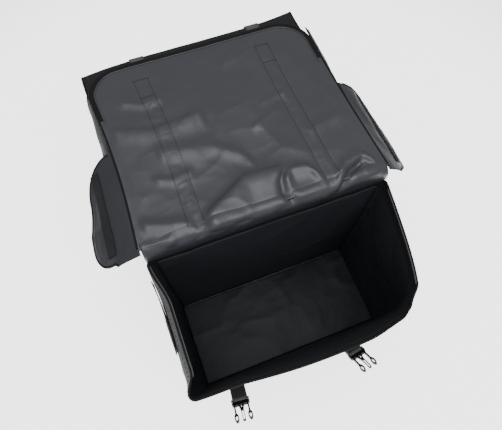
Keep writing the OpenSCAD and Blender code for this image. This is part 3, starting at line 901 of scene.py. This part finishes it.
def on_front_lid(xa, up=0.0):
    x, q = xa[:, 0], xa[:, 1]
    h = lid_relief(x, q, LENGTH, FRONT)
    g = edge_gap(x, q, LENGTH, LID_X - 0.002)
    return front_lid_point(x, q, h * step(0.0, 0.02, g) + up)


edge = outline(LENGTH, LID_X - 0.002, EDGE, 0.215)
pipe = tube("front_lid_piping", on_front_lid(edge, 0.0004), 0.0009, PIPING, sides=6)
cross_fold(pipe)
edge = outline(LENGTH, LID_X - 0.002, 0.0008, 0.002)
hem = tube("front_lid_hem", on_front_lid(edge, -0.0014), 0.0020, BINDING)
cross_fold(hem)

runs = []
for c in (-STRAP_X, STRAP_X):
    for d in (-0.0115, 0.0115):
        q = np.linspace(0.012, LENGTH - 0.040, 200)
        runs.append(on_front_lid(np.column_stack([np.full(200, c + d), q]), 0.0003))
    for q in (LENGTH - 0.077, LENGTH - 0.040):
        x = np.linspace(c - 0.0115, c + 0.0115, 12)
        runs.append(on_front_lid(np.column_stack([x, np.full(12, q)]), 0.0003))
# the thread is drawn 1.3 mm thick, coarser than the real one, so that it shows
cross_fold(sew("front_lid_stitches", runs, THREAD, 0.0044, 0.0040, 0.0013))

# webbing under the open lid, out to the sockets
for hand in (-1, 1):
    word = "left" if hand < 0 else "right"
    q = np.linspace(0.006, LENGTH - 0.034, 120)
    under = np.minimum.reduce([on_front_lid(np.column_stack([np.full(120, hand * STRAP_X + d), q]), -0.0034)[:, 2]
                               for d in (-0.0125, -0.007, 0, 0.007, 0.0125)])
    line = front_lid_point(np.full(120, hand * STRAP_X), q, np.zeros(120))
    line[:, 2] = under
    band = strap("front_lid_strap_" + word, line, (1, 0, 0), WEB_W, WEB)
    cross_fold(band)
    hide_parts("front_lid_straps", "front_flap_straps")
    lo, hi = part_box("front_female_" + word)
    y = lo[1] + 0.0024 + WEB
    tail = smooth_line([(y - 0.010, LID_TOP - 0.0108), (y - 0.003, LID_TOP - 0.0098), (y - 0.0002, hi[2] - 0.002),
                        (y, hi[2] - 0.006), (y - 0.002, lo[2] + 0.0006)], 24)
    tail = np.column_stack([np.full(24, hand * STRAP_X), tail])
    loop = strap(f"front_socket_loop_{word}", tail, (1, 0, 0), WEB_W, WEB)
    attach(loop, "front_flap")

# hinge cloth of the open bag: up from the back panel and over into the lid
turn = smooth_line([(-BACK_Y - 0.0045, 0.0005), (-BACK_Y - 0.0040, 0.004), (-BACK_Y - 0.0035, 0.009),
                    (-BACK_Y - 0.0015, 0.015), (-BACK_Y + 0.002, 0.0195), (LID_Y + 0.001, LID_TOP + 0.0002),
                    (LID_Y + 0.008, LID_TOP + 0.0001), (LID_Y + 0.014, LID_TOP - 0.0016)], 36)
s = np.linspace(-1, 1, 120)
g = np.zeros((36, 120, 3))
for i, (y, z) in enumerate(turn):
    g[i, :, 0] = s * (HALF_W - 0.003 + 0.002 * i / 35)
    wave = 0.0022 * rough(s * 9, np.full(120, i / 12), 77) * math.sin(math.pi * i / 35)
    lean = min(1.0, max(0.0, (LID_Y + 0.004 - y) / 0.014))
    grow = float(step(0.004, LID_TOP, z))
    from_end = HALF_W - 0.003 - np.abs(g[i, :, 0])
    h = lid_relief(g[i, :, 0], np.full(120, y - LID_Y), LENGTH, FRONT) * grow * step(0, 0.02, from_end)
    g[i, :, 1] = y - abs(wave) - np.clip(h, -0.004, 1) * lean
    g[i, :, 2] = z + wave * 0.6 + h * (1 - 0.5 * lean)
hinge = cloth("front_hinge_cloth", g, 0.0016, [LINING, SHELL, BINDING])
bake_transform(hinge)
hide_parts("front_hinge_tape")

# ---------------------------------------------------------------- shut bag's lid

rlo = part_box("rear_lid_panel")[0]
flo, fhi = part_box("rear_flap_panel")
R_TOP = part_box("rear_lid_straps")[0][2]
R_START = rlo[1]
R_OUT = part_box("rear_flap_straps")[0][1]
R_OUT = max(R_OUT, (flo[1] + fhi[1]) / 2 + 0.0012)
BEND = 0.007


def rear_path(a):
    """The shut lid: level out from the hinge, over the front edge and down the face."""
    a = np.asarray(a, float)
    level = R_OUT - BEND - R_START
    arc = BEND * math.pi / 2
    y = np.where(a < level, R_START + a, 0.0)
    z = np.full_like(a, R_TOP)
    ny, nz = np.zeros_like(a), np.ones_like(a)
    q = np.clip((a - level) / BEND, 0, math.pi / 2)
    turning = a >= level
    y = np.where(turning, R_OUT - BEND + BEND * np.sin(q), y)
    z = np.where(turning, R_TOP - BEND + BEND * np.cos(q), z)
    ny = np.where(turning, np.sin(q), ny)
    nz = np.where(turning, np.cos(q), nz)
    z = z - np.maximum(a - level - arc, 0)
    return y, z, ny, nz


R_LEN = (R_OUT - BEND - R_START) + BEND * math.pi / 2 + (R_TOP - BEND - flo[2])


def rear_lid_point(x, a, up):
    y, z, ny, nz = rear_path(a)
    dx, dy = askew(x, y)
    return np.stack([x + dx, y + dy + ny * up, z + nz * up], -1)


a, X, A, rise, gap = lid_cover(REAR, R_LEN, LID_X - 0.002)
top = rear_lid_point(X, A, rise * 0.35 - 0.0006)
rlid = cloth("rear_lid_cover", top, 0.0024, [SHELL, LINING, BINDING])


def cross_rear_fold(o):
    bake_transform(o)
    return o


cross_rear_fold(rlid)
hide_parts("rear_lid_panel", "rear_flap_panel")
ro = outline(R_LEN, LID_X - 0.002, 0.0010, 0.002)
hem = tube("rear_lid_hem", rear_lid_point(ro[:, 0], ro[:, 1], np.full(len(ro), -0.0016)), 0.0019, BINDING)
cross_rear_fold(hem)
ro = outline(R_LEN, LID_X - 0.002, EDGE, 0.006)
edge = rear_lid_point(ro[:, 0], ro[:, 1], np.full(len(ro), 0.0004))
cross_rear_fold(sew("rear_lid_edge_stitches", [edge], PALE_THREAD, 0.0045, 0.0032, 0.0008))
runs = []
for hand in (-1, 1):
    word = "left" if hand < 0 else "right"
    lo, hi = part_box("rear_female_" + word)
    end = R_LEN - (hi[2] - flo[2]) + 0.002
    q = np.linspace(0.006, end, 130)
    line = rear_lid_point(np.full(130, hand * STRAP_X), q, np.full(130, 0.0016))
    band = strap("rear_lid_strap_" + word, line, (1, 0, 0), WEB_W, WEB)
    cross_rear_fold(band)
    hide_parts("rear_lid_straps", "rear_flap_straps")
    for d in (-0.0105, 0.0105):
        q = np.linspace(0.01, R_LEN - 0.045, 100)
        runs.append(rear_lid_point(np.full(100, hand * STRAP_X + d), q, np.full(100, 0.0018)))
    for q in (0.012, 0.036, 0.19, 0.225, R_LEN - 0.045):
        x = hand * STRAP_X + np.linspace(-0.0105, 0.0105, 8)
        runs.append(rear_lid_point(x, np.full(8, q), np.full(8, 0.0018)))
    z = hi[2] - 0.0024 - WEB
    tail = smooth_line([(lo[1] + 0.0002 - 0.0016, z + 0.012), (lo[1] - 0.0008, z + 0.003), (lo[1] + 0.003, z + 0.0004),
                        (lo[1] + 0.006, z), (hi[1] - 0.0006, z + 0.002)], 24)
    tail = np.column_stack([np.full(24, hand * STRAP_X), tail])
    loop = strap(f"rear_socket_loop_{word}", tail, (1, 0, 0), WEB_W, WEB)
    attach(loop, "rear_flap")
cross_rear_fold(sew("rear_lid_stitches", runs, THREAD, 0.0042, 0.0032, 0.0008))

turn = smooth_line([(BACK_Y - 0.002, 0.001), (BACK_Y - 0.004, 0.006), (BACK_Y - 0.002, 0.0105), (BACK_Y + 0.004, 0.0095),
                    (R_START + 0.001, R_TOP + 0.0010), (R_START + 0.012, R_TOP + 0.0004)], 28)
g = np.zeros((28, 60, 3))
for i, (y, z) in enumerate(turn):
    g[i, :, 0] = np.linspace(-1, 1, 60) * (HALF_W - 0.003)
    g[i, :, 1] = y
    g[i, :, 2] = z
rhinge = cloth("rear_hinge_cloth", g, 0.0014, [SHELL, SHELL, BINDING])
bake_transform(rhinge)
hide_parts("rear_hinge_tape")


# ---------------------------------------------------------------- ears

EAR_W, EAR_L = 0.074, 0.168


def ear_reach(y):
    """How far the ear's edge stands out at y metres from the hinge line."""
    y = np.asarray(y, float)
    far = EAR_W - 0.0005
    near = 0.036
    lower = np.where(y < near, far - 0.034 + np.sqrt(np.maximum(0.034 ** 2 - (near - y) ** 2, 0)), far)
    upper = far - 0.012 * step(near, 0.12, y)
    cap = 0.062 * np.sqrt(np.clip(1 - ((y - 0.105) / (EAR_L - 0.105)) ** 2, 0, 1))
    upper = np.where(y > 0.105, np.minimum(upper, cap), upper)
    out = np.where(y < near, lower, upper)
    return np.maximum(out * step(-0.012, 0.012, y + 0.004) ** 0.3, 0.002)


def ear_grid(hand, root, tilt0, tilt1, up, inner, y0=-0.003, y1=EAR_L, rows=70, cols=34, lo=0.0, hi=1.0):
    """The ear's inner face, hanging from root (x, y, z): its slope goes from tilt0 to tilt1 outwards."""
    ys = np.linspace(y0, y1, rows)
    ys = y0 + (y1 - y0) * (0.5 - 0.5 * np.cos(np.linspace(0, math.pi, rows))) * 0.35 + (ys - y0) * 0.65
    g = np.zeros((rows, cols, 3))
    for i, y in enumerate(ys):
        reach = float(ear_reach(y))
        o = np.linspace(lo, hi, cols) * (reach if hi <= 1 else 1)
        g[i] = ear_line(hand, root, tilt0, tilt1, o, np.full(cols, y), up, inner)
    return g


def ear_line(hand, root, tilt0, tilt1, o, y, up, inner):
    """Points o out from the fold and y along it, up off the inner face."""
    n = 24
    f = np.linspace(0, 1, n)
    tilt = np.radians(tilt0 + (tilt1 - tilt0) * f)
    dx = np.concatenate([[0], np.cumsum((np.cos(tilt[1:]) + np.cos(tilt[:-1])) / 2)]) * EAR_W / (n - 1)
    dz = np.concatenate([[0], np.cumsum((np.sin(tilt[1:]) + np.sin(tilt[:-1])) / 2)]) * EAR_W / (n - 1)
    q = np.clip(o / EAR_W, 0, 1)
    full = 1.055 if hand < 0 and root[1] < 0 else 1.0
    x, z, t = np.interp(q, f, dx) * full, np.interp(q, f, dz) * full, np.interp(q, f, tilt)
    w = 0.0018 * rough(y / 0.05 + hand * 3, o / 0.03, 83) * step(0, 0.02, o)
    w = w + 0.0016 * (crumple(y + hand, o, 0.05, 87) - 0.5) * step(0, 0.02, o)
    w = (w + up) * inner
    edge = root[0] - (tuck(y) if root[1] < 0 else 0)
    return np.stack([hand * (edge + x - np.sin(t) * w), root[1] + y, root[2] + z + np.cos(t) * w], -1)


def ear(word, hand, root, tilt0, tilt1, inner, bodies, mats):
    g = ear_grid(hand, root, tilt0, tilt1, 0.0, inner)
    if hand * inner < 0:
        g = g[:, ::-1]
    o = cloth(word + "_cloth", g, 0.0024, mats)
    edge_x, edge_y = [], []
    for y in np.concatenate([np.linspace(-0.0025, 0.02, 16), np.linspace(0.022, EAR_L - 0.02, 50),
                             np.linspace(EAR_L - 0.018, EAR_L - 0.001, 14)]):
        edge_x.append(float(ear_reach(y)))
        edge_y.append(y)
    edge_x, edge_y = np.array(edge_x), np.array(edge_y)
    edge = ear_line(hand, root, tilt0, tilt1, edge_x - 0.0006, edge_y, -0.0012, inner)
    rim = tube(word + "_binding", edge, 0.0021, BINDING)
    for p in (o, rim):
        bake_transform(p)
    seam = ear_line(hand, root, tilt0, tilt1, np.maximum(edge_x - 0.008, 0.002), edge_y, 0.0003, inner)[6:-8]
    st = sew(word + "_stitches", [seam], THREAD, 0.0042, 0.003, 0.0008)
    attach(st, bodies[1])
    return o, rim


def ear_tape(word, hand, root, tilt0, tilt1, inner, body, near, far, y0, y1):
    ys = np.linspace(y0, y1, 40)
    g = np.zeros((40, 6, 3))
    for i, y in enumerate(ys):
        g[i] = ear_line(hand, root, tilt0, tilt1, np.linspace(near, far, 6), np.full(6, y), 0.0012, inner)
    if hand * inner < 0:
        g = g[:, ::-1]
    tape = cloth(word, g, 0.0012, [HOOK] * 3)
    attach(tape, body)
    return tape


hinge_y = joints["front_lid_hinge"]["pos_m"][1]
for hand, tilt0, tilt1 in ((-1, -15, -46), (1, -30, -62)):
    word = "left" if hand < 0 else "right"
    root = (LID_X - 0.003, hinge_y, LID_TOP - 0.0002)
    o, rim = ear("front_ear_" + word, hand, root, tilt0, tilt1, 1, ("front_lid", "front_ear_" + word),
                 [SHADED_EAR_LINING, SHELL, BINDING])
    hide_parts("front_ear_" + word)
    tape = ear_tape("front_ear_tape_" + word, hand, root, tilt0, tilt1, 1, "front_ear_" + word,
                    0.033, 0.047, 0.014, 0.148)
    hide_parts("front_hook_" + word)
    root = (LID_X - 0.0005, -hinge_y, R_TOP - 0.0006)
    o, rim = ear("rear_ear_" + word, hand, root, -52, -112, 1, ("rear_lid", "rear_ear_" + word),
                 [SHELL, LINING, BINDING])
    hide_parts("rear_ear_" + word)


# ---------------------------------------------------------------- buckle tabs

TAB_L = 0.034           # seam to buckle


def tab_frame(name, mirror, yaw, lift):
    """Takes a point in the tab's own frame (seam at 0, +Y outwards) to where the tab stands."""
    j = joints[name]["pos_m"]
    turned = Matrix.Rotation(math.radians(-yaw), 4, "Z") @ Matrix.Rotation(math.radians(lift), 4, "X")
    m = Matrix.Translation((j[0], j[1] * (-1 if mirror else 1), j[2])) @ turned
    flip = Matrix.Scale(-1, 4, (0, 1, 0)) if mirror else Matrix.Identity(4)
    return flip @ m


def slant(side_word, word):
    """Yaw and lift of a tab in degrees: the front tabs splay outwards and up, the rear ones hang."""
    if side_word == "rear":
        return 0, -90
    return (-6, 42) if word == "left" else (10, 42)


for side_word in ("front", "rear"):
    for word in ("left", "right"):
        yaw, lift = slant(side_word, word)
        m = tab_frame(f"{side_word}_tab_{word}_fold", side_word == "front", yaw, lift)
        # a hanging tab starts clear of the wall, so that it doesn't dig in when it swings up
        root, near = (-0.0030, 0.001) if side_word == "front" else (0.0004, 0.002)
        path = smooth_line([(root, 0.0006), (near, 0.0018), (0.012, 0.0023), (TAB_L - 0.002, 0.0027),
                            (TAB_L + 0.0022, 0.0022), (TAB_L + 0.0040, 0.0), (TAB_L + 0.0022, -0.0022),
                            (TAB_L - 0.002, -0.0027), (0.012, -0.0009), (near, -0.0005)], 60)
        line = np.array([tuple(m @ Vector((0, y, z))) for y, z in path])
        across = (m.to_3x3() @ Vector((1, 0, 0))).normalized()
        band = strap(f"{side_word}_tab_{word}_web", line, tuple(across), WEB_W - 0.0006, WEB * 0.9)
        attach(band, f"{side_word}_tab_{word}")
        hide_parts(f"{side_word}_tab_{word}")
        runs = []
        for y in (0.005, TAB_L - 0.007):
            runs.append(np.array([tuple(m @ Vector((x, y, 0.0028))) for x in (-0.011, 0.011)]))
        seam = sew(f"{side_word}_tab_{word}_stitches", runs, THREAD, 0.003, 0.0022, 0.0007)
        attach(seam, f"{side_word}_tab_{word}")

# ---------------------------------------------------------------- finishes of the pieces kept as they are

for name, node in frame["nodes"].items():
    if node.hide_render:
        continue
    m = RUBBER if name == "rack_pad" else PLASTIC
    for s in node.material_slots:
        s.material = m

# ---------------------------------------------------------------- studio

bpy.ops.mesh.primitive_plane_add(size=12, location=(0, 0, BASE_Z - 0.0006))
floor = bpy.context.object
floor.name = "studio_floor"
floor.data.materials.append(FLOOR)

world = bpy.data.worlds.new("soft_room")
bpy.context.scene.world = world
world.use_nodes = True
world.node_tree.nodes["Background"].inputs["Color"].default_value = linear("#ffffff")
world.node_tree.nodes["Background"].inputs["Strength"].default_value = 0.55


def lamp(name, where, aim, size, watts):
    data = bpy.data.lights.new(name, "AREA")
    data.size = size
    data.energy = watts
    o = bpy.data.objects.new(name, data)
    o.location = where
    o.rotation_euler = (Vector(aim) - Vector(where)).to_track_quat("-Z", "Y").to_euler()
    bpy.context.scene.collection.objects.link(o)


lamp("soft_box_over", (-0.15, -0.15, 1.7), (0, 0, 0), 1.1, 19)
lamp("soft_box_corner", (-1.0, -1.0, 0.7), (-0.15, -0.25, -0.1), 0.7, 2.2)
lamp("soft_box_front", (0.4, -1.3, 1.9), (0, -0.1, -0.1), 1.0, 18)

# camera: above and a little behind the open bag's outer wall, looking down and across both bags
cam_data = bpy.data.cameras.new("viewpoint")
cam = bpy.data.objects.new("viewpoint", cam_data)
right = Vector((0.93430, -0.35616, 0.01509)).normalized()
back = -Vector((0.15319, 0.36293, -0.91914)).normalized()
over = back.cross(right).normalized()
turned = Matrix((right, over, back)).transposed().to_4x4()
cam.matrix_world = Matrix.Translation((-0.1266, -0.3018, 0.6046)) @ turned
cam_data.sensor_width = 36.0
cam_data.lens = 450.0 / 502.0 * 36.0
bpy.context.scene.collection.objects.link(cam)
bpy.context.scene.camera = cam
